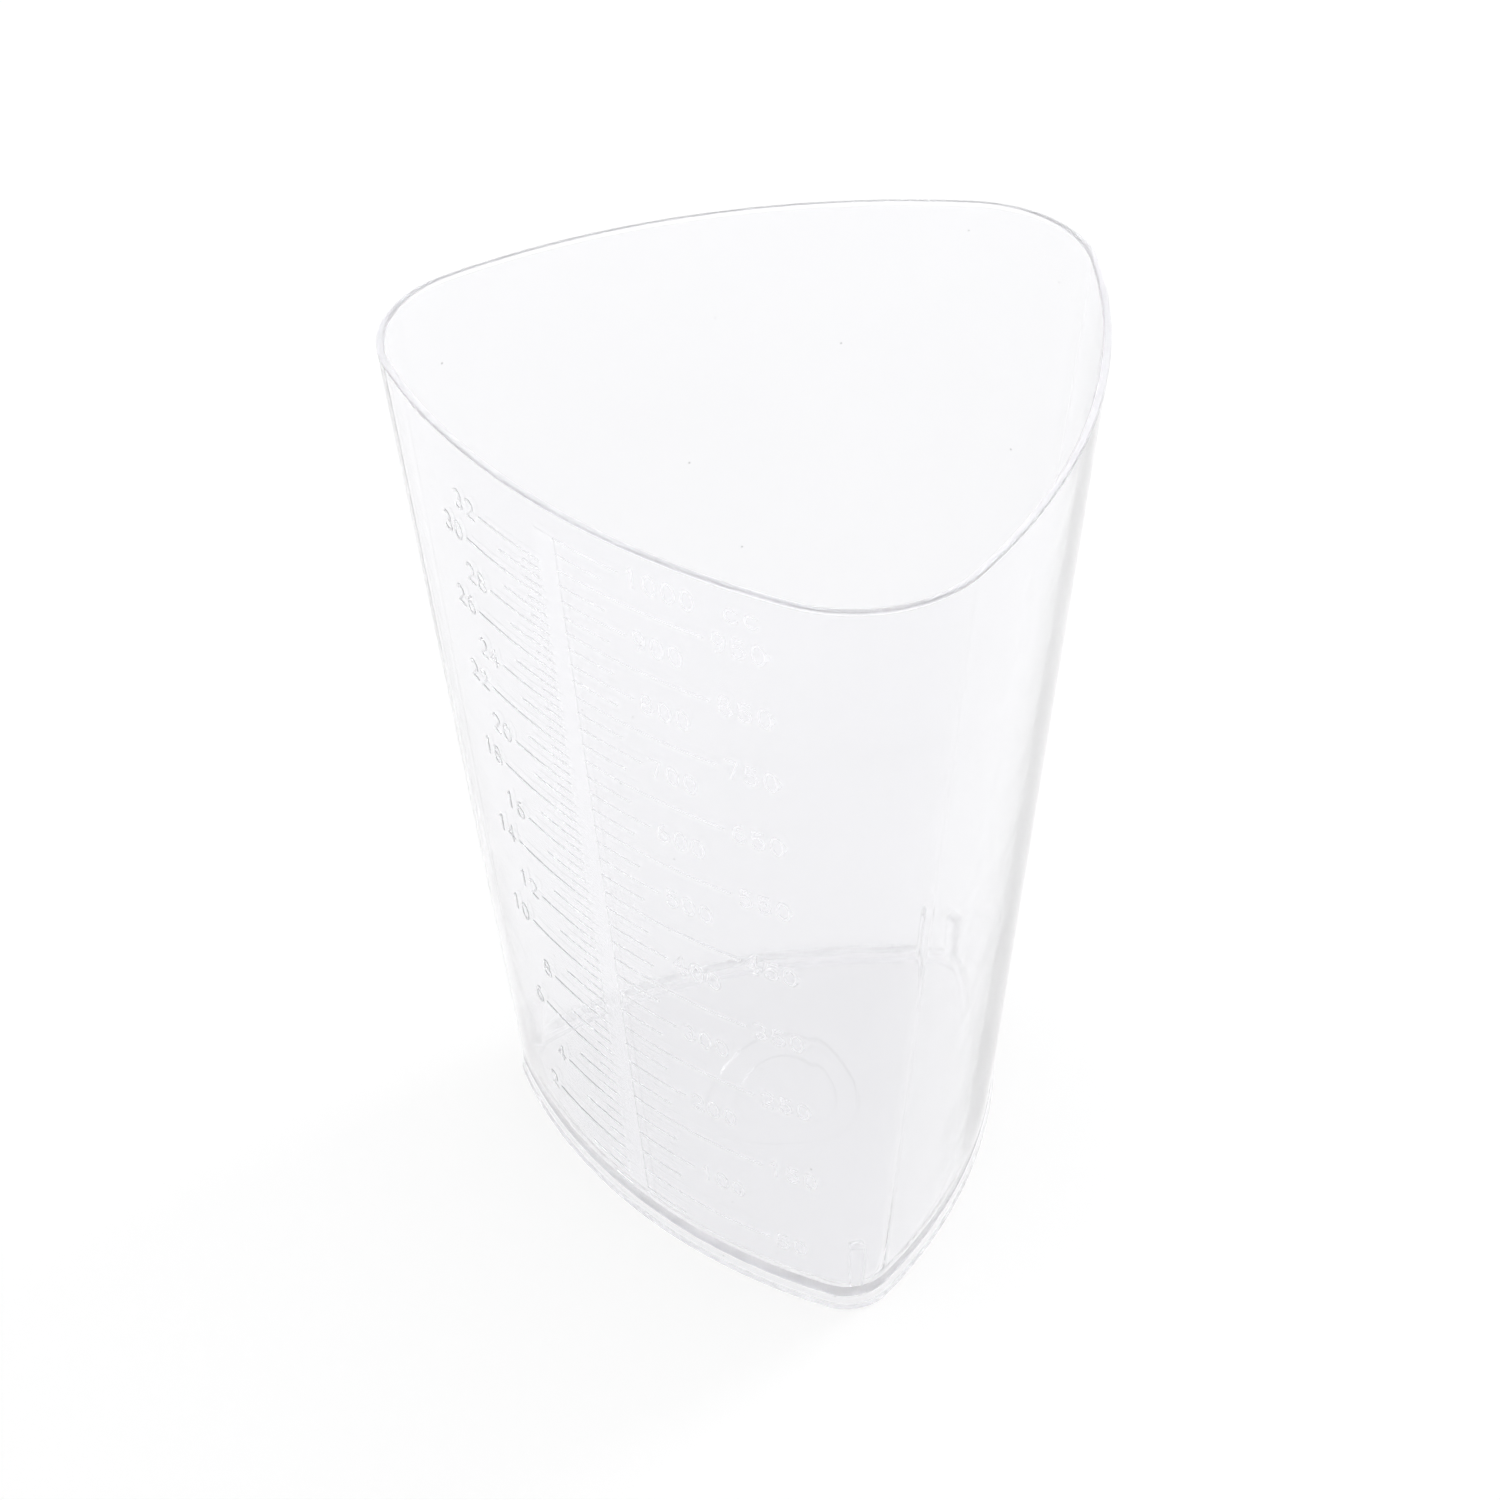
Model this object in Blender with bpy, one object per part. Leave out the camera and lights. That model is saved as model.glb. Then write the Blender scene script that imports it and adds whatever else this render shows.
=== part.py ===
"""Three-sided measuring beaker, one litre, with a metric and a fluid-ounce scale.

The beaker is one clear moulding. Its plan is a triangle with convex sides and rounded
corners, and every height has its own such section, so the wall is a loft between unlike
sections. Metres, +Z up. The marked wall faces -Y. The origin is on the surface that the
beaker stands on, in the middle of the box round it.
"""
import math

import bmesh
import bpy
import numpy as np
from mathutils import Matrix, Vector

# ---- driving dimensions -------------------------------------------------------------
HEIGHT = 0.158

# A section is given by the distance from the axis to the middle of a side, the distance
# from the axis to a corner, and the corner's radius.
RIM_SECTION = (0.0488, 0.0630, 0.0215)
FOOT_SECTION = (0.0366, 0.0499, 0.0086)

FOOT_HEIGHT = 0.0044
FOOT_FLARE = 0.0003
FOOT_EDGE_RADIUS = 0.0005
FOOT_RING_WIDTH = 0.0026
RECESS_DEPTH = 0.0016
RECESS_EDGE_RADIUS = 0.0006

FLOOR_TOP = 0.0036
FLOOR_FILLET = 0.0025
WALL_AT_FOOT = 0.0022
WALL_AT_RIM = 0.0012
LIP_RADIUS = 0.0004

DISH_RADIUS = 0.0140
DISH_DEPTH = 0.0003
DISH_SLOPE = 0.0008
DISH_MIDDLE_RADIUS = 0.0090
DISH_MIDDLE_DEPTH = 0.0005
DISH_MIDDLE_SLOPE = 0.0006

RIB_WIDTH = 0.0018
RIB_FACE = 0.0461
RIB_BACK = 0.0492
RIB_BOTTOM = 0.0026
RIB_TOP = 0.0150
RIB_TOP_RADIUS = 0.0012

MARK_WIDTH = 0.0006
MARK_RELIEF = 0.0003
MARK_ROOT = 0.0005
BAR_RELIEF = 0.00035
BAR_ROOT = 0.0007
BAR_LEFT = -0.0008
BAR_RIGHT = 0.0035
BAR_BELOW_FIRST_CC = 0.0008
BAR_OVERLAP = 0.0010

CUBIC_CENTIMETRE = 1.0e-6
FLUID_OUNCE = 29.5735 * CUBIC_CENTIMETRE
FIRST_CC = 25
LAST_CC = 1000
CC_STEP = 50
CC_HUNDRED_END = 0.0157
CC_FIFTY_END = 0.0299
LAST_OUNCE = 32
OUNCE_STEP = 2
OUNCE_FOUR_END = -0.0153
OUNCE_TWO_END = -0.0203

# ---- fineness -----------------------------------------------------------------------
SIDE_STEPS = 14
CORNER_STEPS = 8
WALL_STEPS = 7
ROUND_STEPS = 3
MARK_STEP_LENGTH = 0.007
BAR_STEPS = 11
VOLUME_STEPS = 400

# ---- what follows from them ---------------------------------------------------------
SIDES = 3
SIDE_TURN = 2.0 * math.pi / SIDES
HALF_TURN = SIDE_TURN / 2.0
MARKED_SIDE = -math.pi / 2.0
AXIS_Y = (RIM_SECTION[0] - RIM_SECTION[1]) / 2.0


def clear_scene():
    for old in list(bpy.data.objects):
        bpy.data.objects.remove(old, do_unlink=True)


def new_collection(name):
    made = bpy.data.collections.new(name)
    bpy.context.scene.collection.children.link(made)
    return made


def clear_plastic():
    """Clear, glossy plastic."""
    material = bpy.data.materials.new("clear_plastic")
    material.use_nodes = True
    shader = material.node_tree.nodes["Principled BSDF"]
    shader.inputs["Base Color"].default_value = (0.93, 0.95, 0.97, 1.0)
    shader.inputs["Alpha"].default_value = 0.30
    shader.inputs["Metallic"].default_value = 0.0
    shader.inputs["Roughness"].default_value = 0.06
    shader.inputs["IOR"].default_value = 1.52
    return material


def evenly(start, end, steps):
    """Evenly spaced values from start to end, both included."""
    return np.linspace(start, end, steps + 1).tolist()


def quarter_round(steps):
    """Pairs (sine, one minus cosine) along a quarter circle."""
    return [(math.sin(angle), 1.0 - math.cos(angle)) for angle in evenly(0.0, math.pi / 2.0, steps)]


# ---- the section at a height --------------------------------------------------------
def section_at(z):
    """Side distance, corner distance and corner radius of the outer wall at height z."""
    if z <= FOOT_HEIGHT:
        flare = FOOT_FLARE * (1.0 - z / FOOT_HEIGHT)
        return [foot + flare for foot in FOOT_SECTION]
    share = (z - FOOT_HEIGHT) / (HEIGHT - FOOT_HEIGHT)
    return [foot + (rim - foot) * share for foot, rim in zip(FOOT_SECTION, RIM_SECTION)]


def wall_at(z):
    return WALL_AT_FOOT + (WALL_AT_RIM - WALL_AT_FOOT) * z / HEIGHT


def side_arc(side, corner, radius):
    """The radius of the side's arc, and half its angle, where it runs into the corner's arc."""
    reach = corner - radius
    arc_radius = (side**2 + reach**2 - side * reach - radius**2) / (2.0 * side - reach - 2.0 * radius)
    across = reach * math.sin(HALF_TURN)
    along = reach * math.cos(HALF_TURN) - side + arc_radius
    return arc_radius, math.atan2(across, along)


def outline(z, inset=0.0):
    """Points round the rounded triangle at height z, drawn inwards by inset."""
    side, corner, radius = (distance - inset for distance in section_at(z))
    arc_radius, half_angle = side_arc(side, corner, radius)
    side_centre = Vector((side - arc_radius, 0.0))
    corner_centre = (corner - radius) * Vector((math.cos(HALF_TURN), math.sin(HALF_TURN)))
    third = []
    for angle in evenly(-half_angle, half_angle, SIDE_STEPS)[:-1]:
        third.append(side_centre + arc_radius * Vector((math.cos(angle), math.sin(angle))))
    for angle in evenly(half_angle, SIDE_TURN - half_angle, CORNER_STEPS)[:-1]:
        third.append(corner_centre + radius * Vector((math.cos(angle), math.sin(angle))))
    points = []
    for number in range(SIDES):
        turn = Matrix.Rotation(MARKED_SIDE + number * SIDE_TURN, 2)
        points.extend(tuple(turn @ point) for point in third)
    return np.array(points)


def round_outline(radius):
    """A circle whose points lie in the same directions as those of the floor's outline."""
    directions = outline(FLOOR_TOP, wall_at(FLOOR_TOP) + FLOOR_FILLET)
    lengths = np.hypot(directions[:, 0], directions[:, 1])
    return directions * (radius / lengths)[:, None]


def loft(rings, name):
    """A closed mesh through rings that have equally many points, with both ends filled."""
    shape = bmesh.new()
    loops = [[shape.verts.new(point) for point in ring] for ring in rings]
    count = len(loops[0])
    for lower, upper in zip(loops, loops[1:]):
        for index in range(count):
            after = (index + 1) % count
            shape.faces.new((lower[index], lower[after], upper[after], upper[index]))
    shape.faces.new(list(reversed(loops[0])))
    shape.faces.new(loops[-1])
    bmesh.ops.recalc_face_normals(shape, faces=shape.faces[:])
    return to_mesh(shape, name)


def to_mesh(shape, name):
    mesh = bpy.data.meshes.new(name)
    shape.to_mesh(mesh)
    shape.free()
    return mesh


# ---- the body: one loft from the recess, round the foot and the lip, to the floor ---
def recess_and_foot():
    """Rings from the middle of the underside to the top of the foot's outer edge."""
    rings = [(round_outline(DISH_RADIUS), RECESS_DEPTH)]
    for rise, run in quarter_round(ROUND_STEPS):
        inset = FOOT_RING_WIDTH + RECESS_EDGE_RADIUS * (1.0 - rise)
        rings.append((outline(0.0, inset), RECESS_DEPTH - RECESS_EDGE_RADIUS * run))
    rings.append((outline(0.0, FOOT_RING_WIDTH), 0.0))
    for rise, run in quarter_round(ROUND_STEPS):
        z = FOOT_EDGE_RADIUS * run
        rings.append((outline(z, FOOT_EDGE_RADIUS * (1.0 - rise)), z))
    return rings


def walls_and_lip():
    """Rings up the outside, over the lip and down the inside to the floor's fillet."""
    lip_start = HEIGHT - LIP_RADIUS
    rings = [(outline(z), z) for z in evenly(FOOT_HEIGHT, lip_start, WALL_STEPS)]
    for rise, run in quarter_round(ROUND_STEPS)[1:]:
        z = lip_start + LIP_RADIUS * rise
        rings.append((outline(z, LIP_RADIUS * run), z))
    for rise, run in reversed(quarter_round(ROUND_STEPS)):
        z = lip_start + LIP_RADIUS * rise
        rings.append((outline(z, wall_at(z) - LIP_RADIUS * run), z))
    for z in evenly(lip_start, FLOOR_TOP + FLOOR_FILLET, WALL_STEPS)[1:]:
        rings.append((outline(z, wall_at(z)), z))
    return rings


def fillet_and_floor():
    """Rings round the fillet and across the floor into its shallow dish."""
    rings = []
    for rise, run in quarter_round(ROUND_STEPS)[1:]:
        z = FLOOR_TOP + FLOOR_FILLET * (1.0 - rise)
        rings.append((outline(z, wall_at(z) + FLOOR_FILLET * run), z))
    dish = FLOOR_TOP - DISH_DEPTH
    rings.append((round_outline(DISH_RADIUS), FLOOR_TOP))
    rings.append((round_outline(DISH_RADIUS - DISH_SLOPE), dish))
    rings.append((round_outline(DISH_MIDDLE_RADIUS), dish))
    middle = FLOOR_TOP - DISH_MIDDLE_DEPTH
    rings.append((round_outline(DISH_MIDDLE_RADIUS - DISH_MIDDLE_SLOPE), middle))
    return rings


def body_mesh():
    rings = recess_and_foot() + walls_and_lip() + fillet_and_floor()
    return loft([[(x, y, z) for x, y in points] for points, z in rings], "beaker")


# ---- stacking ribs, one in each corner ----------------------------------------------
def rib_mesh(turn):
    """An upright rib out from the corner that lies at angle turn, rounded at its top."""
    size = Vector((RIB_BACK - RIB_FACE, RIB_WIDTH, RIB_TOP - RIB_BOTTOM))
    middle = Vector((RIB_BACK + RIB_FACE, 0.0, RIB_TOP + RIB_BOTTOM)) / 2.0
    place = Matrix.Translation(middle) @ Matrix.Diagonal(size.to_4d())
    shape = bmesh.new()
    bmesh.ops.create_cube(shape, size=1.0, matrix=place)
    front = (RIB_FACE + RIB_BACK) / 2.0
    top = (RIB_BOTTOM + RIB_TOP) / 2.0
    edges = [edge for edge in shape.edges
             if all(end.co.x < front and end.co.z > top for end in edge.verts)]
    bmesh.ops.bevel(shape, geom=edges, offset=RIB_TOP_RADIUS, segments=ROUND_STEPS,
                    profile=0.5, affect="EDGES")
    bmesh.ops.rotate(shape, cent=(0.0, 0.0, 0.0), verts=shape.verts[:],
                     matrix=Matrix.Rotation(turn, 3, "Z"))
    return to_mesh(shape, "rib")


# ---- the scale: volumes, heights and raised marks -----------------------------------
def area_of(points):
    x = points[:, 0]
    y = points[:, 1]
    return 0.5 * abs(np.dot(x, np.roll(y, -1)) - np.dot(y, np.roll(x, -1)))


def fill_table():
    """Heights, and what the beaker holds when it is filled to each of them."""
    heights = evenly(FLOOR_TOP, HEIGHT, VOLUME_STEPS)
    areas = np.array([area_of(outline(z, wall_at(z))) for z in heights])
    slices = (areas[1:] + areas[:-1]) / 2.0 * np.diff(heights)
    return heights, np.concatenate(([0.0], np.cumsum(slices)))


def on_marked_wall(across, z, proud):
    """A point across from the marked wall's middle line, proud of the wall's surface."""
    side, corner, radius = section_at(z)
    arc_radius, _ = side_arc(side, corner, radius)
    angle = across / arc_radius
    reach = arc_radius + proud
    return Vector((reach * math.sin(angle), arc_radius - side - reach * math.cos(angle), z))


def mark_mesh(start, end, z):
    """A raised line along the marked wall at height z."""
    steps = math.ceil(abs(end - start) / MARK_STEP_LENGTH)
    low = z - MARK_WIDTH / 2.0
    high = z + MARK_WIDTH / 2.0
    rings = []
    for across in evenly(start, end, steps):
        rings.append([on_marked_wall(across, low, -MARK_ROOT),
                      on_marked_wall(across, low, MARK_RELIEF),
                      on_marked_wall(across, high, MARK_RELIEF),
                      on_marked_wall(across, high, -MARK_ROOT)])
    return loft(rings, "mark")


def bar_mesh(bottom, top):
    """The smooth upright bar that the marks of both scales start from."""
    rings = []
    for z in evenly(bottom, top, BAR_STEPS):
        rings.append([on_marked_wall(BAR_LEFT, z, -BAR_ROOT),
                      on_marked_wall(BAR_LEFT, z, BAR_RELIEF),
                      on_marked_wall(BAR_RIGHT, z, BAR_RELIEF),
                      on_marked_wall(BAR_RIGHT, z, -BAR_ROOT)])
    return loft(rings, "bar")


def scale_meshes():
    """The bar, a mark for every 50 cc and a mark for every second fluid ounce."""
    heights, volumes = fill_table()

    def height_of(volume):
        return float(np.interp(volume, volumes, heights))

    bottom = height_of(FIRST_CC * CUBIC_CENTIMETRE) - BAR_BELOW_FIRST_CC
    top = height_of(LAST_CC * CUBIC_CENTIMETRE)
    meshes = [bar_mesh(bottom, top)]
    for amount in range(CC_STEP, LAST_CC + CC_STEP, CC_STEP):
        end = CC_HUNDRED_END if amount % (2 * CC_STEP) == 0 else CC_FIFTY_END
        z = height_of(amount * CUBIC_CENTIMETRE)
        meshes.append(mark_mesh(BAR_RIGHT - BAR_OVERLAP, end, z))
    for amount in range(OUNCE_STEP, LAST_OUNCE + OUNCE_STEP, OUNCE_STEP):
        end = OUNCE_FOUR_END if amount % (2 * OUNCE_STEP) == 0 else OUNCE_TWO_END
        z = height_of(amount * FLUID_OUNCE)
        meshes.append(mark_mesh(BAR_LEFT + BAR_OVERLAP, end, z))
    return meshes


# ---- assembly -----------------------------------------------------------------------
def join_to(body, mesh, name, guides):
    """Joins a mesh to the body with a Boolean, and keeps it as a guide in the body's frame."""
    guide = bpy.data.objects.new(name, mesh)
    guide.hide_render = True
    guide.display_type = "WIRE"
    guide.parent = body
    guides.objects.link(guide)
    union = body.modifiers.new(name, "BOOLEAN")
    union.operation = "UNION"
    union.solver = "EXACT"
    union.object = guide


def build():
    clear_scene()
    parts = new_collection("measuring_beaker")
    guides = new_collection("measuring_beaker_guides")
    beaker = bpy.data.objects.new("beaker", body_mesh())
    beaker.location = (0.0, AXIS_Y, 0.0)
    beaker.data.materials.append(clear_plastic())
    parts.objects.link(beaker)
    for number in range(SIDES):
        turn = MARKED_SIDE + HALF_TURN + number * SIDE_TURN
        join_to(beaker, rib_mesh(turn), f"rib_{number + 1}", guides)
    for number, mesh in enumerate(scale_meshes()):
        join_to(beaker, mesh, f"scale_{number:02d}", guides)
    beaker.data.shade_smooth()
    beaker.data.set_sharp_from_angle(angle=math.radians(30.0))


build()
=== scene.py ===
"""The look of the three-sided measuring beaker: its moulded surface, its clear plastic and
the pale studio that it stands in. Metres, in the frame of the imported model."""

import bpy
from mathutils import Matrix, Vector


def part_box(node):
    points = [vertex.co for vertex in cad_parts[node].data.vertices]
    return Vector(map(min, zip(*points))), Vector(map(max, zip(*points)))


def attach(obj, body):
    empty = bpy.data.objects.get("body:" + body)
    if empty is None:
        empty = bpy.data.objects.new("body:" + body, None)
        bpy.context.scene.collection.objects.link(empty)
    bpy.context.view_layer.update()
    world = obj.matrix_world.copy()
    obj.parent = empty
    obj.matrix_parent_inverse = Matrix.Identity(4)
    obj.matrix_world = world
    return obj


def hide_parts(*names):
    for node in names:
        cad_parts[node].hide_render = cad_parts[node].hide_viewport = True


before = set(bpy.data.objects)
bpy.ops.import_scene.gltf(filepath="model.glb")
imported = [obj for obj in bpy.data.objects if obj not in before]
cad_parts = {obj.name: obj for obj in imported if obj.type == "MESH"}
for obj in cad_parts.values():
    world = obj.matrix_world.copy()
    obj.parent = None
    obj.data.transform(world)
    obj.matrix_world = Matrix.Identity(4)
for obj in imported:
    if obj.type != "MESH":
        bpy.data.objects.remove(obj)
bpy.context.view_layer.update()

import math

import bpy
import numpy as np
from mathutils import Matrix, Vector

MM = 0.001

# ---- the beaker's driving dimensions, as the CAD model has them ----------------------
LOW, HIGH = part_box("beaker")
HEIGHT = HIGH[2] - LOW[2]
RIM_SECTION = (48.8 * MM, 63.0 * MM, 21.5 * MM)
FOOT_SECTION = (36.6 * MM, 49.9 * MM, 8.6 * MM)
AXIS_Y = (RIM_SECTION[0] - RIM_SECTION[1]) / 2.0
FOOT_HEIGHT = 4.4 * MM
FOOT_FLARE = 0.3 * MM
FOOT_EDGE_RADIUS = 0.5 * MM
FOOT_RING_WIDTH = 2.6 * MM
RECESS_DEPTH = 1.6 * MM
RECESS_EDGE_RADIUS = 0.6 * MM
FLOOR_TOP = 3.6 * MM
FLOOR_FILLET = 2.5 * MM
WALL_AT_FOOT = 2.2 * MM
WALL_AT_RIM = 1.2 * MM
LIP_RADIUS = 0.4 * MM
RIB_FACE = 46.1 * MM
RIB_WIDTH = 1.8 * MM
RIB_TOP = 15.0 * MM
RIB_TOP_RADIUS = 1.2 * MM

# The floor's shallow round dish: radii and depths below the floor, from its edge inwards.
DISH_STEPS = ((14.0 * MM, 13.2 * MM, 0.3 * MM), (9.0 * MM, 8.4 * MM, 0.5 * MM))
DISH_WAVE = 0.07

# ---- the scale ----------------------------------------------------------------------
CUBIC_CENTIMETRE = 1.0e-6
FLUID_OUNCE = 29.5735 * CUBIC_CENTIMETRE
BAR_LEFT = -0.8 * MM
BAR_RIGHT = 3.5 * MM
BAR_RELIEF = 0.06 * MM
MARK_RELIEF = 0.05 * MM
MARK_HALF_WIDTH = 0.20 * MM
DIGIT_HALF_WIDTH = 0.18 * MM
EDGE_SOFTNESS = 0.14 * MM
CC_TWENTY_FIVE_END = 12.3 * MM
CC_HUNDRED_END = 15.7 * MM
CC_FIFTY_END = 29.9 * MM
OUNCE_HALF_END = -4.8 * MM
OUNCE_ONE_END = -10.8 * MM
OUNCE_FOUR_END = -15.3 * MM
OUNCE_TWO_END = -20.3 * MM
DIGIT_HEIGHT = 3.4 * MM
DIGIT_WIDTH = 2.4 * MM
DIGIT_PITCH = 3.2 * MM
LABEL_GAP = 1.5 * MM

# How much frost and painted glow the bar's face gets, as a share of what the marks' crests get.
BAR_FROST_AND_GLOW = 0.25

# How frosted, with painted glow, and how much painted shade the underside gets, as shares of what the marks
# get.
UNDERSIDE_FROST_AND_GLOW = 0.35
UNDERSIDE_PAINTED_SHADE = 0.6

# ---- fineness -----------------------------------------------------------------------
FINE_STEP = 0.19 * MM
TICK_STEP = 0.35 * MM
SCALE_LEFT = -36.0 * MM
SCALE_RIGHT = 40.1 * MM
SCALE_BOTTOM = 5.5 * MM
SCALE_TOP = 155.5 * MM
ROUND_STEPS = 6
SIDE_COLUMNS = 26
CORNER_COLUMNS = 9

# The table lies this far under the foot, so that the two faces don't share one plane.
FLOOR_GAP = 0.1 * MM

# ---- the plastic --------------------------------------------------------------------
PLASTIC_IOR = 1.49
TRANSMISSION = 0.92
TINT_RANGE = (0.93, 0.96)
TINT_COLOUR = (0.990, 0.989, 1.0, 1.0)
HAZE_SCALE = 22.0
HAZE_ROUGHNESS = (0.015, 0.05)
DUST_SCALE = 130.0
DUST_RADII = (0.015, 0.035)
DUST_SHADE = (0.55, 1.0)
PAINTED_EDGE_SHADE = (1.0, 0.91)
FROST_FULL_AT = 0.6
FROST_ROUGHNESS = 0.32
RIPPLE_SCALE = 60.0
RIPPLE_STRENGTH = 0.06
RIPPLE_DEPTH = 0.3 * MM

# A faint painted glow (emission) stands in for light scattered inside the wall, from plain wall to crest;
# on the crests, the lip and the underside it is a painted highlight.
PAINTED_GLOW_COLOUR = (0.96, 0.96, 1.0, 1.0)
PAINTED_GLOW_STRENGTH = (0.025, 0.12)

# ---- the studio's numbers -----------------------------------------------------------
WHITE = (1.0, 1.0, 1.0, 1.0)
BLACK = (0.0, 0.0, 0.0, 1.0)
TABLE_COLOUR = (0.25, 0.25, 0.25, 1.0)
TABLE_HALF_WIDTH = 1.5
HORIZON_COLOUR = (0.98, 0.98, 0.985, 1.0)
HORIZON_REACH = 0.6
LIGHT_TARGET = Vector((0.0, 0.0, 0.05))
KEY_PLACE = (0.2, 1.0, 1.2)
KEY_SIZE = (0.35, 0.35)
KEY_POWER = 4.5
SENSOR_WIDTH = 36.0
LENS = 73.1
CAMERA_RIGHT = Vector((0.6982, 0.7157, -0.0143))
CAMERA_UP = Vector((-0.4460, 0.4505, 0.7734))
CAMERA_PLACE = Vector((0.2790, -0.2730 + AXIS_Y, 0.4037))

# How brightly the table glows, as if lit from below.
TABLE_GLOW = 0.75

# Light caught in the clear wall turns back from its faces this many times at most.
WALL_BOUNCES = 96

SIDE_TURN = math.radians(120.0)
HALF_TURN = math.radians(60.0)
MARKED_SIDE = math.radians(-90.0)


def evenly(start, end, step):
    """Values from start to end, both included, no more than a step apart."""
    return np.linspace(start, end, max(1, math.ceil(abs(end - start) / step - 1e-9)) + 1)


def smooth_step(value):
    """An even rise from 0 to 1 with flat ends."""
    value = np.clip(value, 0.0, 1.0)
    return value * value * (3.0 - 2.0 * value)


def quarter_round():
    """Pairs (sine, one minus cosine) along a quarter circle."""
    angles = np.linspace(0.0, math.pi / 2.0, ROUND_STEPS + 1)
    return [(math.sin(angle), 1.0 - math.cos(angle)) for angle in angles]


# ---- the rounded triangle -----------------------------------------------------------
def section_at(z):
    """Side distance, corner distance and corner radius of the outer wall at height z."""
    if z <= FOOT_HEIGHT:
        flare = FOOT_FLARE * (1.0 - z / FOOT_HEIGHT)
        return [foot + flare for foot in FOOT_SECTION]
    share = (z - FOOT_HEIGHT) / (HEIGHT - FOOT_HEIGHT)
    return [foot + (rim - foot) * share for foot, rim in zip(FOOT_SECTION, RIM_SECTION)]


def wall_at(z):
    """The wall's thickness at height z."""
    return WALL_AT_FOOT + (WALL_AT_RIM - WALL_AT_FOOT) * z / HEIGHT


def side_arc(side, corner, radius):
    """The radius of the side's arc, and half its angle, where it meets the corner's arc."""
    reach = corner - radius
    arc_radius = (side**2 + reach**2 - side * reach - radius**2) / (2.0 * side - reach - 2.0 * radius)
    along = reach * math.cos(HALF_TURN) - side + arc_radius
    return arc_radius, math.atan2(reach * math.sin(HALF_TURN), along)


def scale_columns():
    """Places across the marked wall, closest together where the numerals are."""
    zones = ((SCALE_LEFT, OUNCE_FOUR_END - LABEL_GAP / 2.0, FINE_STEP),
             (OUNCE_FOUR_END - LABEL_GAP / 2.0, BAR_LEFT - FINE_STEP, TICK_STEP),
             (BAR_LEFT - FINE_STEP, BAR_RIGHT + FINE_STEP, FINE_STEP),
             (BAR_RIGHT + FINE_STEP, CC_HUNDRED_END + LABEL_GAP / 2.0, TICK_STEP),
             (CC_HUNDRED_END + LABEL_GAP / 2.0, SCALE_RIGHT, FINE_STEP))
    places = [evenly(*zone)[:-1] for zone in zones]
    return np.concatenate(places + [[SCALE_RIGHT]])


def corner_shares():
    """Shares of a corner's arc, with pairs of columns at the edges of the stacking rib."""
    inner_radius = FOOT_SECTION[2] - WALL_AT_FOOT
    _, half_angle = side_arc(*FOOT_SECTION)
    arc = SIDE_TURN - 2.0 * half_angle
    edge = RIB_WIDTH / 2.0 / inner_radius / arc
    draft = 0.12 * MM / inner_radius / arc
    left = np.linspace(0.0, 0.5 - edge - draft, CORNER_COLUMNS)
    middle = np.linspace(0.5 - edge, 0.5 + edge, 5)
    return np.concatenate((left, middle, 1.0 - left[::-1])), edge


SCALE_COLUMNS = scale_columns()
CORNER_SHARES, RIB_EDGE = corner_shares()


def outline(z, inset=0.0):
    """Points and outward normals round the section at height z, drawn inwards by inset.

    The columns run from the left of the marked wall's scale to its right, and on round
    the beaker, so that each column's place on the scale is the same at every height.
    """
    side, corner, radius = (distance - inset for distance in section_at(z))
    arc_radius, half_angle = side_arc(side, corner, radius)
    whole_arc_radius, whole_half_angle = side_arc(*section_at(z))
    scale = SCALE_COLUMNS / whole_arc_radius * (half_angle / whole_half_angle)
    right = np.linspace(scale[-1], half_angle, 4)[1:]
    left = np.linspace(-half_angle, scale[0], 5)[:-1]
    plain = np.linspace(-half_angle, half_angle, SIDE_COLUMNS)[1:]
    corner_angles = half_angle + (SIDE_TURN - 2.0 * half_angle) * CORNER_SHARES[1:]
    reach = corner - radius
    side_centre = (side - arc_radius, 0.0)
    corner_centre = (reach * math.cos(HALF_TURN), reach * math.sin(HALF_TURN))
    runs = [(0, np.concatenate((scale, right)), side_centre, arc_radius)]
    for number in range(3):
        runs.append((number, corner_angles, corner_centre, radius))
        if number < 2:
            runs.append((number + 1, plain, side_centre, arc_radius))
    runs.append((3, left, side_centre, arc_radius))
    points = []
    normals = []
    for number, angles, centre, run_radius in runs:
        turn = MARKED_SIDE + number * SIDE_TURN
        spin = np.array(((math.cos(turn), math.sin(turn)), (-math.sin(turn), math.cos(turn))))
        directions = np.stack((np.cos(angles), np.sin(angles)), axis=1)
        points.append((np.array(centre) + run_radius * directions) @ spin)
        normals.append(directions @ spin)
    return np.concatenate(points), np.concatenate(normals)


# ---- numerals as strokes ------------------------------------------------------------
def arc(x, y, across, up, start, end):
    """Points along part of an ellipse, in a box one unit wide and one unit high."""
    angles = np.radians(evenly(start, end, 15.0))
    return np.stack((x + across * np.cos(angles), y + up * np.sin(angles)), axis=1)


def line(*points):
    return np.array(points, float)


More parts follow.
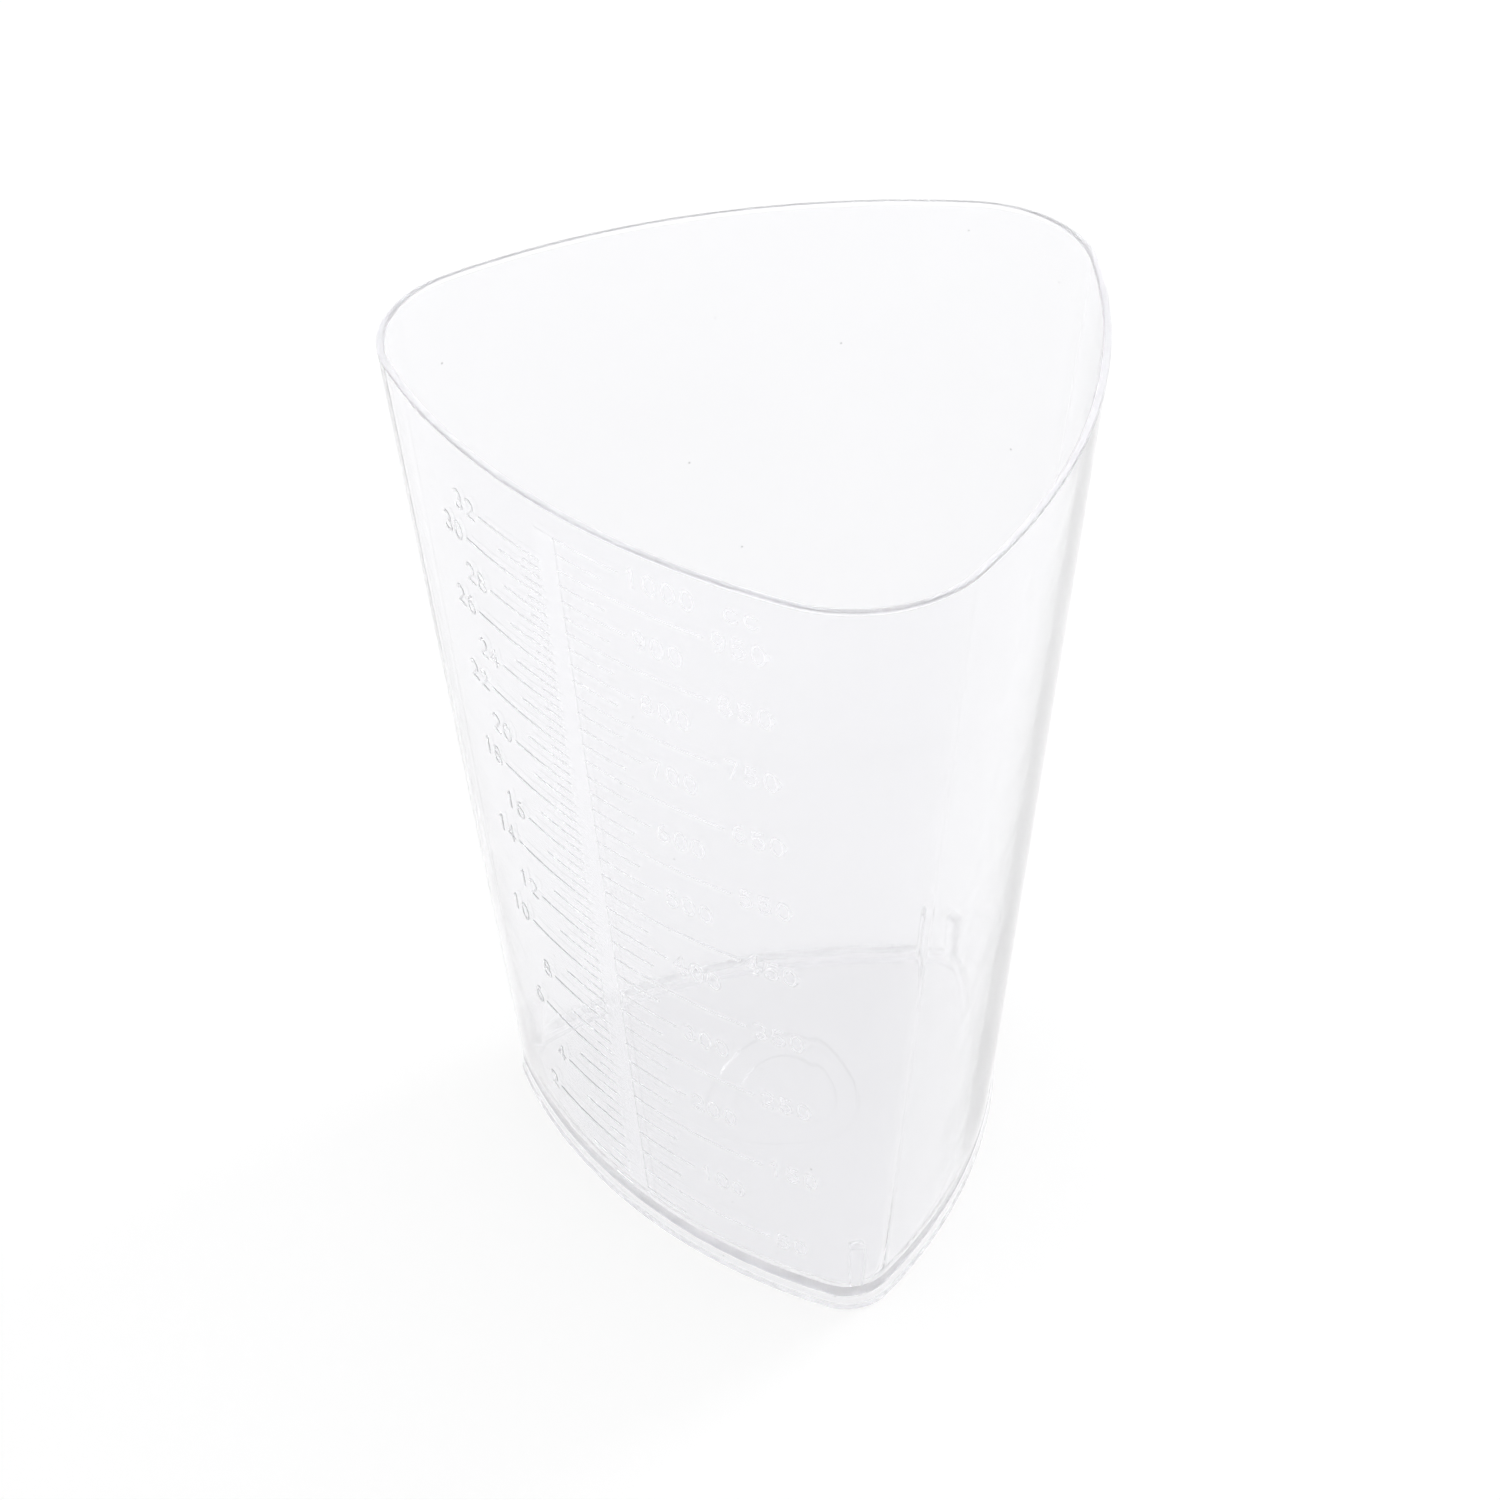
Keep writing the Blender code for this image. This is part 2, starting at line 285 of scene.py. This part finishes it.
def strokes_of(character):
    """The strokes of a plain rounded numeral or letter, in a unit box."""
    shapes = {
        "0": [arc(0.5, 0.5, 0.42, 0.5, 0, 360)],
        "1": [line((0.28, 0.8), (0.55, 1.0), (0.55, 0.0))],
        "2": [np.concatenate((arc(0.5, 0.7, 0.4, 0.3, 165, -35), line((0.08, 0.0), (0.92, 0.0))))],
        "3": [arc(0.48, 0.74, 0.36, 0.26, 150, -80), arc(0.48, 0.26, 0.4, 0.26, 80, -150)],
        "4": [line((0.95, 0.3), (0.05, 0.3), (0.68, 1.0), (0.68, 0.0))],
        "5": [line((0.85, 1.0), (0.2, 1.0), (0.14, 0.55)), arc(0.47, 0.32, 0.42, 0.32, 135, -150)],
        "6": [arc(0.5, 0.31, 0.4, 0.31, 0, 360), arc(0.72, 0.31, 0.62, 0.69, 180, 95)],
        "7": [line((0.08, 1.0), (0.92, 1.0), (0.4, 0.0))],
        "8": [arc(0.5, 0.75, 0.34, 0.25, 0, 360), arc(0.5, 0.26, 0.42, 0.26, 0, 360)],
        "9": [arc(0.5, 0.69, 0.4, 0.31, 0, 360), arc(0.28, 0.69, 0.62, 0.69, 0, -85)],
        "c": [arc(0.5, 0.5, 0.45, 0.5, 45, 315)],
        "o": [arc(0.5, 0.5, 0.45, 0.5, 0, 360)],
        "z": [line((0.1, 1.0), (0.9, 1.0), (0.1, 0.0), (0.9, 0.0))],
    }
    return shapes[character]


# ---- the raised scale, as heights over the marked wall's grid ------------------------
def distance_to(points, u, z):
    """Distance from each grid place to a line of straight pieces through the points."""
    nearest = np.full(u.shape, np.inf)
    for (u0, z0), (u1, z1) in zip(points, points[1:]):
        length = (u1 - u0)**2 + (z1 - z0)**2
        share = np.clip(((u - u0) * (u1 - u0) + (z - z0) * (z1 - z0)) / max(length, 1e-18), 0.0, 1.0)
        nearest = np.minimum(nearest, np.hypot(u - u0 - share * (u1 - u0), z - z0 - share * (z1 - z0)))
    return nearest


def raise_stroke(marks, places, levels, points, half_width):
    """Raises the wall under one stroke of a mark or a numeral."""
    reach = half_width + EDGE_SOFTNESS
    columns = slice(*np.searchsorted(places, (points[:, 0].min() - reach, points[:, 0].max() + reach)))
    rows = slice(*np.searchsorted(levels, (points[:, 1].min() - reach, points[:, 1].max() + reach)))
    u, z = np.meshgrid(places[columns], levels[rows])
    away = distance_to(points, u, z)
    height = smooth_step((reach - away) / (2.0 * EDGE_SOFTNESS))
    marks[rows, columns] = np.maximum(marks[rows, columns], height)


def raise_text(marks, places, levels, text, left, middle, height=DIGIT_HEIGHT):
    """Raises a label whose left edge and middle height are given."""
    size = np.array((DIGIT_WIDTH, height))
    for number, character in enumerate(text):
        corner = np.array((left + number * DIGIT_PITCH, middle - height / 2.0))
        for stroke in strokes_of(character):
            raise_stroke(marks, places, levels, corner + stroke * size, DIGIT_HALF_WIDTH)


def fill_heights():
    """A function from a volume to the height that it fills the beaker to."""
    heights = np.linspace(FLOOR_TOP, HEIGHT, 400)
    areas = []
    for z in heights:
        points, _ = outline(z, wall_at(z))
        x, y = points.T
        areas.append(0.5 * abs(np.dot(x, np.roll(y, -1)) - np.dot(y, np.roll(x, -1))))
    areas = np.array(areas)
    slices = (areas[1:] + areas[:-1]) / 2.0 * np.diff(heights)
    volumes = np.concatenate(([0.0], np.cumsum(slices)))
    return lambda volume: float(np.interp(volume, volumes, heights))


def raise_tick(marks, places, levels, start, end, z):
    raise_stroke(marks, places, levels, np.array(((start, z), (end, z))), MARK_HALF_WIDTH)


def raise_cc_scale(marks, places, levels, height_of):
    """A mark every 25 cc, and numerals beside the marks for every 50 cc."""
    for amount in range(25, 1025, 25):
        z = height_of(amount * CUBIC_CENTIMETRE)
        if amount % 100 == 0:
            end = CC_HUNDRED_END
        elif amount % 50 == 0:
            end = CC_FIFTY_END
        else:
            end = CC_TWENTY_FIVE_END
        raise_tick(marks, places, levels, BAR_RIGHT, end, z)
        if amount % 50 == 0:
            raise_text(marks, places, levels, str(amount), end + LABEL_GAP, z)
    top = height_of(1000 * CUBIC_CENTIMETRE)
    raise_text(marks, places, levels, "cc", 34.0 * MM, top, 2.2 * MM)


def raise_ounce_scale(marks, places, levels, height_of):
    """A mark every half ounce, and numerals for every second ounce."""
    for halves in range(1, 65):
        z = height_of(halves * FLUID_OUNCE / 2.0)
        if halves % 8 == 0:
            end = OUNCE_FOUR_END
        elif halves % 4 == 0:
            end = OUNCE_TWO_END
        elif halves % 2 == 0:
            end = OUNCE_ONE_END
        else:
            end = OUNCE_HALF_END
        if z > SCALE_BOTTOM + 1.0 * MM:
            raise_tick(marks, places, levels, end, BAR_LEFT, z)
        if halves % 4 == 0:
            text = str(halves // 2)
            width = DIGIT_WIDTH + (len(text) - 1) * DIGIT_PITCH
            raise_text(marks, places, levels, text, end - LABEL_GAP - width, z)
    top = height_of(32 * FLUID_OUNCE)
    raise_text(marks, places, levels, "oz", -34.0 * MM, top + 12.0 * MM, 2.6 * MM)


def scale_marks(levels):
    """The marks and the bar, from 0 beside them to 1 on them, by level and scale column."""
    marks = np.zeros((len(levels), len(SCALE_COLUMNS)))
    height_of = fill_heights()
    bottom = height_of(25 * CUBIC_CENTIMETRE) - MARK_HALF_WIDTH
    top = height_of(1000 * CUBIC_CENTIMETRE) + MARK_HALF_WIDTH
    across = np.minimum(SCALE_COLUMNS - BAR_LEFT, BAR_RIGHT - SCALE_COLUMNS)
    along = np.minimum(levels - bottom, top - levels)
    inside = np.minimum(across[None, :], along[:, None])
    bar = smooth_step(inside / (2.0 * EDGE_SOFTNESS) + 0.5)
    raise_cc_scale(marks, SCALE_COLUMNS, levels, height_of)
    raise_ounce_scale(marks, SCALE_COLUMNS, levels, height_of)
    return marks, bar


# ---- the moulding's rings -----------------------------------------------------------
def ring(z, inset=0.0, relief=()):
    """One ring of the body, with the scale raised where relief is given."""
    points, normals = outline(z, inset)
    if len(relief):
        points[:len(relief)] += normals[:len(relief)] * relief[:, None]
    return np.column_stack((points, np.full(len(points), z)))


def round_ring(radius, z):
    """A circle whose points lie in the same directions as the floor's outline."""
    points, _ = outline(FLOOR_TOP, wall_at(FLOOR_TOP) + FLOOR_FILLET)
    points *= (radius / np.hypot(points[:, 0], points[:, 1]))[:, None]
    return np.column_stack((points, np.full(len(points), z)))


def dish_ring(radius, z):
    """A circle round the floor's middle, uneven as the dish's edges are."""
    points = round_ring(radius, z)
    angles = np.arctan2(points[:, 1], points[:, 0])
    points[:, :2] *= 1.0 + DISH_WAVE * np.sin(3.0 * angles + 0.7)[:, None]
    return points


def underside_rings():
    """From the middle of the recess out to the foot's outer edge."""
    rings = [round_ring(radius, RECESS_DEPTH) for radius in (1.0 * MM, 12.0 * MM, 24.0 * MM)]
    for inset in (6.0 * MM, 4.0 * MM):
        rings.append(ring(0.0, inset))
        rings[-1][:, 2] = RECESS_DEPTH
    for rise, run in quarter_round():
        rings.append(ring(0.0, FOOT_RING_WIDTH + RECESS_EDGE_RADIUS * (1.0 - rise)))
        rings[-1][:, 2] = RECESS_DEPTH - RECESS_EDGE_RADIUS * run
    for drop in (0.9, 0.4, 0.2, 0.05, 0.0):
        rings.append(ring(0.0, FOOT_RING_WIDTH - 0.1 * MM * (1.0 - drop)))
        rings[-1][:, 2] = (RECESS_DEPTH - RECESS_EDGE_RADIUS) * drop
    rings.append(ring(0.0, FOOT_RING_WIDTH - 0.5 * MM))
    rings.append(ring(0.0, FOOT_EDGE_RADIUS + 0.3 * MM))
    for rise, run in quarter_round():
        z = FOOT_EDGE_RADIUS * run
        rings.append(ring(z, FOOT_EDGE_RADIUS * (1.0 - rise)))
    return rings


def outside_rings():
    """Up the outer wall, and the raised marks and bar on it."""
    levels = np.concatenate((evenly(0.8 * MM, FOOT_HEIGHT - 0.15 * MM, 0.7 * MM),
                             evenly(FOOT_HEIGHT + 0.15 * MM, SCALE_BOTTOM - FINE_STEP, 0.4 * MM),
                             evenly(SCALE_BOTTOM, SCALE_TOP, FINE_STEP),
                             evenly(SCALE_TOP + FINE_STEP, HEIGHT - LIP_RADIUS - 0.2 * MM, 0.5 * MM)))
    marks, bar = scale_marks(levels)
    relief = np.maximum(MARK_RELIEF * marks, BAR_RELIEF * bar)
    return [ring(z, 0.0, heights) for z, heights in zip(levels, relief)], marks, bar


def lip_rings():
    """Over the rounded lip."""
    start = HEIGHT - LIP_RADIUS
    rings = []
    for rise, run in quarter_round():
        z = start + LIP_RADIUS * rise
        rings.append(ring(z, LIP_RADIUS * run))
    for rise, run in reversed(quarter_round()):
        z = start + LIP_RADIUS * rise
        rings.append(ring(z, wall_at(z) - LIP_RADIUS * run))
    return rings


def rib_reach(z):
    """How far from the axis a stacking rib's inner face stands at height z."""
    above = (z - RIB_TOP + RIB_TOP_RADIUS) / RIB_TOP_RADIUS
    if above <= 0.0:
        return RIB_FACE
    if above >= 1.0:
        return math.inf
    return RIB_FACE + RIB_TOP_RADIUS * (1.0 - math.sqrt(1.0 - above * above))


def with_ribs(points):
    """Draws the ribs' columns in to the ribs' inner faces, in each corner."""
    first = len(SCALE_COLUMNS) + 3
    per_corner = len(CORNER_SHARES) - 1
    on_rib = np.flatnonzero(np.abs(CORNER_SHARES[1:] - 0.5) <= RIB_EDGE + 1e-9)
    reach = rib_reach(points[0, 2])
    if math.isinf(reach):
        return points
    for number in range(3):
        angle = MARKED_SIDE + HALF_TURN + number * SIDE_TURN
        out = np.array((math.cos(angle), math.sin(angle)))
        columns = first + number * (per_corner + SIDE_COLUMNS - 1) + on_rib
        along = points[columns, :2] @ out
        points[columns, :2] -= np.maximum(along - reach, 0.0)[:, None] * out
    return points


def inside_rings():
    """Down the inner wall, past the ribs, and round the fillet to the floor."""
    fillet_start = FLOOR_TOP + FLOOR_FILLET
    plain = evenly(HEIGHT - LIP_RADIUS - 0.2 * MM, RIB_TOP + 1.0 * MM, 3.5 * MM)
    rings = [ring(z, wall_at(z)) for z in plain]
    heights = list(evenly(RIB_TOP + 0.3 * MM, RIB_TOP - RIB_TOP_RADIUS, 0.1 * MM))
    heights += list(evenly(RIB_TOP - RIB_TOP_RADIUS - 0.5 * MM, fillet_start, 1.0 * MM))
    rings.extend(with_ribs(ring(z, wall_at(z))) for z in heights)
    for rise, run in quarter_round()[1:]:
        z = fillet_start - FLOOR_FILLET * rise
        rings.append(with_ribs(ring(z, wall_at(z) + FLOOR_FILLET * run)))
    return rings


def floor_rings():
    """Across the floor and down its shallow dish, and how much painted shade each ring gets at a step's
    edge.
    """
    rings = [round_ring(radius, FLOOR_TOP) for radius in (24.0 * MM, 18.0 * MM)]
    edge = [0.0, 0.0]
    level = 0.0
    for outer, inner, depth in DISH_STEPS:
        for share in np.linspace(-0.3, 1.3, 9):
            drop = level + (depth - level) * float(smooth_step(share))
            rings.append(dish_ring(outer + (inner - outer) * share, FLOOR_TOP - drop))
            # Painted shade, strongest halfway across each step.
            edge.append(max(0.0, 4.0 * share * (1.0 - share)))
        level = depth
    rings.append(round_ring(1.0 * MM, FLOOR_TOP - level))
    return rings, edge + [0.0]


def beaker_mesh():
    """The whole moulding as one closed skin through its rings."""
    below = underside_rings()
    outside, marks, bar = outside_rings()
    lip = lip_rings()
    floor, dish_painted_shade = floor_rings()
    rings = below + outside + lip + inside_rings() + floor
    count = len(rings[0])
    points = np.concatenate(rings)
    frost_and_glow = np.zeros((len(rings), count))
    edge = np.zeros((len(rings), count))
    scale = slice(len(below), len(below) + len(outside)), slice(0, len(SCALE_COLUMNS))
    # Frost and painted glow on the marks' crests and the bar's face, a painted highlight.
    frost_and_glow[scale] = np.maximum(marks, BAR_FROST_AND_GLOW * bar)
    # Painted shade along the flanks of the marks and the bar.
    edge[scale] = 4.0 * np.maximum(marks * (1.0 - marks), bar * (1.0 - bar))
    # The lip gets full frost and painted glow, a painted highlight along the rim.
    frost_and_glow[scale[0].stop:scale[0].stop + len(lip)] = 1.0
    # The underside gets some frost and painted glow, and a painted contact shade.
    frost_and_glow[:len(below)] = UNDERSIDE_FROST_AND_GLOW
    edge[:len(below)] = UNDERSIDE_PAINTED_SHADE
    # Painted shade along the floor dish's steps.
    edge[-len(floor):] = np.array(dish_painted_shade)[:, None]
    points[:, 1] += AXIS_Y
    start = np.arange(len(rings) - 1)[:, None] * count
    column = np.arange(count)[None, :]
    after = (column + 1) % count
    quads = np.stack((start + column, start + after, start + count + after, start + count + column), axis=2)
    quads = quads.reshape(-1, 4)
    ends = [np.arange(count)[::-1], np.arange(count) + len(points) - count]
    corners = np.concatenate([quads.ravel()] + ends)
    sizes = np.concatenate((np.full(len(quads), 4), [count, count]))
    mesh = bpy.data.meshes.new("beaker_skin")
    mesh.vertices.add(len(points))
    mesh.vertices.foreach_set("co", points.ravel())
    mesh.loops.add(len(corners))
    mesh.loops.foreach_set("vertex_index", corners)
    mesh.polygons.add(len(sizes))
    mesh.polygons.foreach_set("loop_start", np.concatenate(([0], np.cumsum(sizes)[:-1])))
    mesh.update(calc_edges=True)
    mesh.validate()
    mesh.shade_smooth()
    mesh.set_sharp_from_angle(angle=math.radians(40.0))
    for name, values in (("frost_and_glow", frost_and_glow), ("edge", edge)):
        mesh.attributes.new(name, "FLOAT", "POINT").data.foreach_set("value", values.ravel())
    return mesh


# ---- materials ----------------------------------------------------------------------
def scaled(links, node, source, ends):
    """A map range from the source's 0 to 1 to the two ends."""
    node.inputs["To Min"].default_value, node.inputs["To Max"].default_value = ends
    links.new(source, node.inputs["Value"])
    return node.outputs["Result"]


def combined(nodes, links, operation, first, second):
    """Two values put together by a math node."""
    node = nodes.new("ShaderNodeMath")
    node.operation = operation
    links.new(first, node.inputs[0])
    links.new(second, node.inputs[1])
    return node.outputs["Value"]


def noise(nodes, links, place, scale, detail):
    """Noise fixed to the object."""
    node = nodes.new("ShaderNodeTexNoise")
    node.inputs["Scale"].default_value = scale
    node.inputs["Detail"].default_value = detail
    links.new(place, node.inputs["Vector"])
    return node.outputs["Fac"]


def point_value(nodes, name):
    """A value that the mesh keeps at its points."""
    node = nodes.new("ShaderNodeAttribute")
    node.attribute_name = name
    return node.outputs["Fac"]


def clear_plastic():
    """Clear moulded plastic: a faint cool tint, slight haze, flow ripples and dust, with painted shade on
    the marks' flanks, the underside and the dish's steps, and a painted glow.
    """
    material = bpy.data.materials.new("clear_plastic_skin")
    material.use_nodes = True
    nodes = material.node_tree.nodes
    links = material.node_tree.links
    shader = nodes["Principled BSDF"]
    shader.inputs["Transmission Weight"].default_value = TRANSMISSION
    shader.inputs["IOR"].default_value = PLASTIC_IOR
    shader.inputs["Emission Color"].default_value = PAINTED_GLOW_COLOUR
    material.cycles.emission_sampling = "NONE"
    place = nodes.new("ShaderNodeTexCoord").outputs["Object"]
    frost_and_glow = point_value(nodes, "frost_and_glow")
    haze = noise(nodes, links, place, HAZE_SCALE, 4.0)

    tint = scaled(links, nodes.new("ShaderNodeMapRange"), haze, TINT_RANGE)
    specks = nodes.new("ShaderNodeTexVoronoi")
    specks.inputs["Scale"].default_value = DUST_SCALE
    links.new(place, specks.inputs["Vector"])
    speck_range = nodes.new("ShaderNodeMapRange")
    speck_range.inputs["From Min"].default_value, speck_range.inputs["From Max"].default_value = DUST_RADII
    dust = scaled(links, speck_range, specks.outputs["Distance"], DUST_SHADE)
    # Painted shade on the marks' flanks, the underside and the dish's steps, times the dust's specks.
    painted_shade = scaled(links, nodes.new("ShaderNodeMapRange"), point_value(nodes, "edge"), PAINTED_EDGE_SHADE)
    dust_and_painted_shade = combined(nodes, links, "MULTIPLY", painted_shade, dust)
    grey = combined(nodes, links, "MULTIPLY", tint, dust_and_painted_shade)
    colour = nodes.new("ShaderNodeMix")
    colour.data_type = "RGBA"
    colour.inputs["A"].default_value = BLACK
    colour.inputs["B"].default_value = TINT_COLOUR
    links.new(grey, colour.inputs["Factor"])
    links.new(colour.outputs["Result"], shader.inputs["Base Color"])

    roughness = scaled(links, nodes.new("ShaderNodeMapRange"), haze, HAZE_ROUGHNESS)
    frost_range = nodes.new("ShaderNodeMapRange")
    frost_range.inputs["From Max"].default_value = FROST_FULL_AT
    frost = scaled(links, frost_range, frost_and_glow, (0.0, FROST_ROUGHNESS))
    matt = combined(nodes, links, "MAXIMUM", roughness, frost)
    links.new(matt, shader.inputs["Roughness"])

    # Painted glow: faint on the plain wall, a painted highlight on the crests, the lip and the underside.
    painted_glow = scaled(links, nodes.new("ShaderNodeMapRange"), frost_and_glow, PAINTED_GLOW_STRENGTH)
    links.new(painted_glow, shader.inputs["Emission Strength"])

    bump = nodes.new("ShaderNodeBump")
    bump.inputs["Strength"].default_value = RIPPLE_STRENGTH
    bump.inputs["Distance"].default_value = RIPPLE_DEPTH
    links.new(noise(nodes, links, place, RIPPLE_SCALE, 3.0), bump.inputs["Height"])
    links.new(bump.outputs["Normal"], shader.inputs["Normal"])
    return material


def lit_table():
    """A white table top, lit a little from below."""
    material = bpy.data.materials.new("white_table")
    material.use_nodes = True
    shader = material.node_tree.nodes["Principled BSDF"]
    shader.inputs["Base Color"].default_value = TABLE_COLOUR
    shader.inputs["Roughness"].default_value = 0.9
    shader.inputs["Specular IOR Level"].default_value = 0.1
    shader.inputs["Emission Color"].default_value = WHITE
    shader.inputs["Emission Strength"].default_value = TABLE_GLOW
    return material


# ---- the studio ---------------------------------------------------------------------
def link(thing):
    """Puts an object into the scene and gives it back."""
    bpy.context.scene.collection.objects.link(thing)
    return thing


def add_camera():
    """The camera above the front right corner, looking down into the beaker."""
    data = bpy.data.cameras.new("camera")
    data.sensor_width = SENSOR_WIDTH
    data.lens = LENS
    camera = link(bpy.data.objects.new("camera", data))
    back = CAMERA_RIGHT.cross(CAMERA_UP)
    turn = Matrix((CAMERA_RIGHT, CAMERA_UP, back)).transposed().to_4x4()
    camera.matrix_world = Matrix.Translation(CAMERA_PLACE) @ turn
    bpy.context.scene.camera = camera


def add_floor():
    """A wide white table."""
    half = TABLE_HALF_WIDTH
    mesh = bpy.data.meshes.new("floor")
    low = -FLOOR_GAP
    corners = [(-half, -half, low), (half, -half, low), (half, half, low), (-half, half, low)]
    mesh.from_pydata(corners, [], [(0, 1, 2, 3)])
    floor = link(bpy.data.objects.new("floor", mesh))
    floor.data.materials.append(lit_table())


def add_light(name, place, size, power):
    """A square soft light that faces the beaker."""
    data = bpy.data.lights.new(name, "AREA")
    data.shape = "RECTANGLE"
    data.size, data.size_y = size
    data.energy = power
    lamp = link(bpy.data.objects.new(name, data))
    lamp.location = place
    lamp.rotation_euler = (LIGHT_TARGET - Vector(place)).to_track_quat("-Z", "Y").to_euler()


def add_room():
    """A white room that is a little darker towards the horizon."""
    world = bpy.data.worlds.new("room")
    world.use_nodes = True
    nodes = world.node_tree.nodes
    links = world.node_tree.links
    place = nodes.new("ShaderNodeTexCoord")
    split = nodes.new("ShaderNodeSeparateXYZ")
    links.new(place.outputs["Generated"], split.inputs["Vector"])
    ramp = nodes.new("ShaderNodeValToRGB")
    ramp.color_ramp.elements[0].position = 0.0
    ramp.color_ramp.elements[0].color = HORIZON_COLOUR
    ramp.color_ramp.elements[1].position = HORIZON_REACH
    ramp.color_ramp.elements[1].color = WHITE
    links.new(split.outputs["Z"], ramp.inputs["Fac"])
    links.new(ramp.outputs["Color"], nodes["Background"].inputs["Color"])
    nodes["Background"].inputs["Strength"].default_value = 1.0
    bpy.context.scene.world = world


def expose():
    """A plain tone curve, and light that is followed a long way along the clear walls."""
    bpy.context.scene.view_settings.view_transform = "Standard"
    bpy.context.scene.cycles.max_bounces = WALL_BOUNCES
    bpy.context.scene.cycles.transmission_bounces = WALL_BOUNCES
    bpy.context.scene.cycles.glossy_bounces = WALL_BOUNCES


add_camera()
add_floor()
add_room()
expose()
add_light("key", KEY_PLACE, KEY_SIZE, KEY_POWER)

beaker = link(bpy.data.objects.new("beaker_moulding", beaker_mesh()))
beaker.data.materials.append(clear_plastic())
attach(beaker, "root")
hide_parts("beaker")
